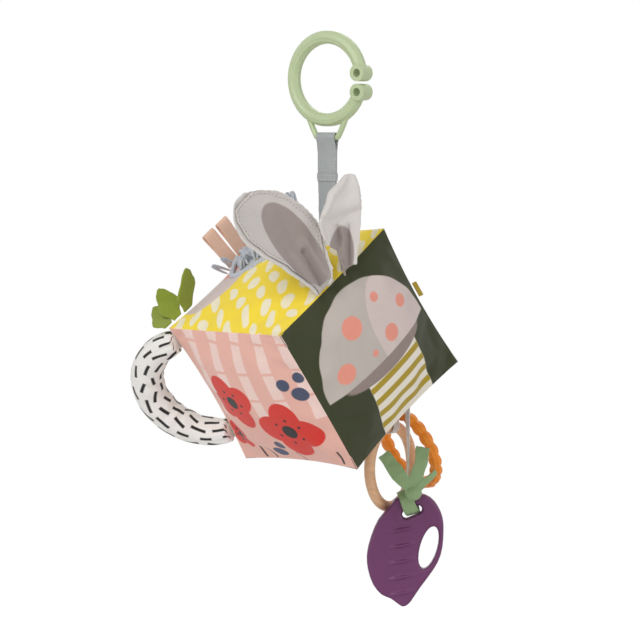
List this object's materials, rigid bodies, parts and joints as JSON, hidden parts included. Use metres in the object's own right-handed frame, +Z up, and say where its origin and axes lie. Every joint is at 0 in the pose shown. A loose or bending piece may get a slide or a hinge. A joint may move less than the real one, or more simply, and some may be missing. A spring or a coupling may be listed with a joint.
{
  "type": "hanging soft activity block",
  "caption": "Soft fabric activity block for a baby, hung from a plastic ring by a strap, with cloth ears, leaves and tags, a stuffed handle, and a wooden ring and soft teethers hung below it.",
  "frame": {"origin": "the inner top of the hanger ring, where the bar it hangs from bears", "axes": "+Z up; -Y is the outward side of the block's olive front face; +X runs to the right along that face"},
  "size_m": [0.2066, 0.1646, 0.3758],
  "materials": {
    "sage_plastic": "satin",
    "grey_webbing": "woven",
    "panel_front_cloth": "printed cotton",
    "panel_back_cloth": "printed cotton",
    "panel_upper_cloth": "printed cotton",
    "panel_lower_cloth": "printed cotton",
    "panel_right_cloth": "printed cotton",
    "panel_bottom_cloth": "printed cotton",
    "filling": "fibre",
    "rattle_shell": "satin",
    "rattle_beads": "satin",
    "ear_plush": "short pile",
    "ear_lining": "woven",
    "patch_pile": "looped pile",
    "border_cord": "stitched",
    "leaf_cloth": "felt",
    "tag_ribbon": "satin ribbon",
    "label_cloth": "satin",
    "handle_cloth": "printed cotton",
    "strap_tape": "woven",
    "green_ribbon": "satin ribbon",
    "plum_silicone": "matt silicone",
    "ring_ribbon": "woven",
    "beech": "waxed",
    "orange_silicone": "matt silicone"
  },
  "bodies": {
    "hanger": {"hanger_ring": "sage_plastic"},
    "strap": {"hanging_strap": "grey_webbing"},
    "block": {"panel_front": "panel_front_cloth", "panel_back": "panel_back_cloth", "panel_upper": "panel_upper_cloth", "panel_lower": "panel_lower_cloth", "panel_right": "panel_right_cloth", "panel_bottom": "panel_bottom_cloth", "foam_core": "filling", "rattle_cup": "rattle_shell", "rattle_lid": "rattle_shell", "chenille_patch": "patch_pile", "patch_border": "border_cord"},
    "ear_left": {"ear_left_plush": "ear_plush", "ear_left_lining": "ear_lining"},
    "ear_right": {"ear_right_plush": "ear_plush", "ear_right_lining": "ear_lining"},
    "leaf_1": {"leaf_1": "leaf_cloth"},
    "leaf_2": {"leaf_2": "leaf_cloth"},
    "leaf_3": {"leaf_3": "leaf_cloth"},
    "tag_1": {"ribbon_tag_1": "tag_ribbon"},
    "tag_2": {"ribbon_tag_2": "tag_ribbon"},
    "label": {"side_label": "label_cloth"},
    "handle": {"handle_cover": "handle_cloth", "handle_stuffing": "filling"},
    "bead_1": {"rattle_bead_1": "rattle_beads"},
    "bead_2": {"rattle_bead_2": "rattle_beads"},
    "bead_3": {"rattle_bead_3": "rattle_beads"},
    "teether_strap": {"teether_strap": "strap_tape", "teether_ribbon": "green_ribbon"},
    "wood_ribbon": {"wood_ring_ribbon": "ring_ribbon"},
    "scallop_ribbon": {"scallop_ring_ribbon": "ring_ribbon"},
    "teether": {"teether": "plum_silicone"},
    "wood_ring": {"wood_ring": "beech"},
    "scallop_ring": {"scallop_ring": "orange_silicone"}
  },
  "joints": [
    {"name": "strap_swing", "type": "hinge", "parent": "hanger", "child": "strap", "pos_m": [0, 0, -0.0599], "axis": [0.218, -0.976, 0], "range_deg": [-30, 30]},
    {"name": "block_swing", "type": "hinge", "parent": "strap", "child": "block", "pos_m": [0, 0, -0.1165], "axis": [0, 1, 0], "range_deg": [-30, 30]},
    {"name": "ear_left_bend", "type": "hinge", "parent": "block", "child": "ear_left", "pos_m": [-0.05508, -0.05468, -0.15765], "axis": [0.8039, 0, 0.5948], "range_deg": [-28, 1.5], "stiffness_Nm_per_rad": 0.05},
    {"name": "ear_right_bend", "type": "hinge", "parent": "block", "child": "ear_right", "pos_m": [-0.03486, -0.05414, -0.14336], "axis": [0.8039, 0, 0.5948], "range_deg": [-1.5, 35], "stiffness_Nm_per_rad": 0.05},
    {"name": "leaf_1_bend", "type": "hinge", "parent": "block", "child": "leaf_1", "pos_m": [-0.06998, 0.05372, -0.16987], "axis": [0.8039, 0, 0.5948], "range_deg": [-20, 40], "stiffness_Nm_per_rad": 0.004},
    {"name": "leaf_2_bend", "type": "hinge", "parent": "block", "child": "leaf_2", "pos_m": [-0.07823, 0.05422, -0.17536], "axis": [0.8039, 0, 0.5948], "range_deg": [-3, 15], "stiffness_Nm_per_rad": 0.004},
    {"name": "leaf_3_bend", "type": "hinge", "parent": "block", "child": "leaf_3", "pos_m": [-0.08563, 0.05477, -0.18015], "axis": [0.8039, 0, 0.5948], "range_deg": [-25, 3], "stiffness_Nm_per_rad": 0.004},
    {"name": "tag_1_bend", "type": "hinge", "parent": "block", "child": "tag_1", "pos_m": [-0.03248, 0.05312, -0.14288], "axis": [0.8039, 0, 0.5948], "range_deg": [-40, 30], "stiffness_Nm_per_rad": 0.004},
    {"name": "tag_2_bend", "type": "hinge", "parent": "block", "child": "tag_2", "pos_m": [-0.0238, 0.05339, -0.13612], "axis": [0.8039, 0, 0.5948], "range_deg": [-40, 20], "stiffness_Nm_per_rad": 0.004},
    {"name": "label_bend", "type": "hinge", "parent": "block", "child": "label", "pos_m": [0.02785, -0.05302, -0.15747], "axis": [0.5948, 0, -0.8039], "range_deg": [-60, 60], "stiffness_Nm_per_rad": 0.004},
    {"name": "handle_bend", "type": "hinge", "parent": "block", "child": "handle", "pos_m": [-0.05844, 0.05392, -0.22064], "axis": [0.5948, 0, -0.8039], "range_deg": [-20, 10], "stiffness_Nm_per_rad": 0.6},
    {"name": "bead_1_slide", "type": "slide", "parent": "block", "child": "bead_1", "axis": [-0.5948, 0, 0.8039], "range_m": [0, 0.01]},
    {"name": "bead_2_slide", "type": "slide", "parent": "block", "child": "bead_2", "axis": [-0.5948, 0, 0.8039], "range_m": [0, 0.01]},
    {"name": "bead_3_slide", "type": "slide", "parent": "block", "child": "bead_3", "axis": [-0.5948, 0, 0.8039], "range_m": [0, 0.01]},
    {"name": "teether_strap_swing", "type": "hinge", "parent": "block", "child": "teether_strap", "pos_m": [0.06263, 0, -0.20451], "axis": [0, 1, 0], "range_deg": [-60, 15]},
    {"name": "wood_ribbon_swing", "type": "hinge", "parent": "block", "child": "wood_ribbon", "pos_m": [0.06263, 0, -0.20451], "axis": [0, 1, 0], "range_deg": [-60, 15]},
    {"name": "scallop_ribbon_swing", "type": "hinge", "parent": "block", "child": "scallop_ribbon", "pos_m": [0.06263, 0, -0.20451], "axis": [0, 1, 0], "range_deg": [-60, 15]},
    {"name": "teether_swing", "type": "hinge", "parent": "teether_strap", "child": "teether", "pos_m": [0.05913, -0.0127, -0.29861], "axis": [0.6873, -0.6062, 0.4002], "range_deg": [-45, 3]},
    {"name": "wood_ring_turn", "type": "hinge", "parent": "wood_ribbon", "child": "wood_ring", "pos_m": [0.05998, 0.005, -0.27641], "axis": [0.28, -0.96, 0], "continuous": true},
    {"name": "scallop_ring_turn", "type": "hinge", "parent": "scallop_ribbon", "child": "scallop_ring", "pos_m": [0.08298, 0.0116, -0.26541], "axis": [0.8889, -0.1512, 0.4325], "continuous": true}
  ],
  "couplings": [
    {"joint": "wood_ribbon_swing", "follows": "teether_strap_swing", "ratio": 1},
    {"joint": "scallop_ribbon_swing", "follows": "teether_strap_swing", "ratio": 1}
  ]
}
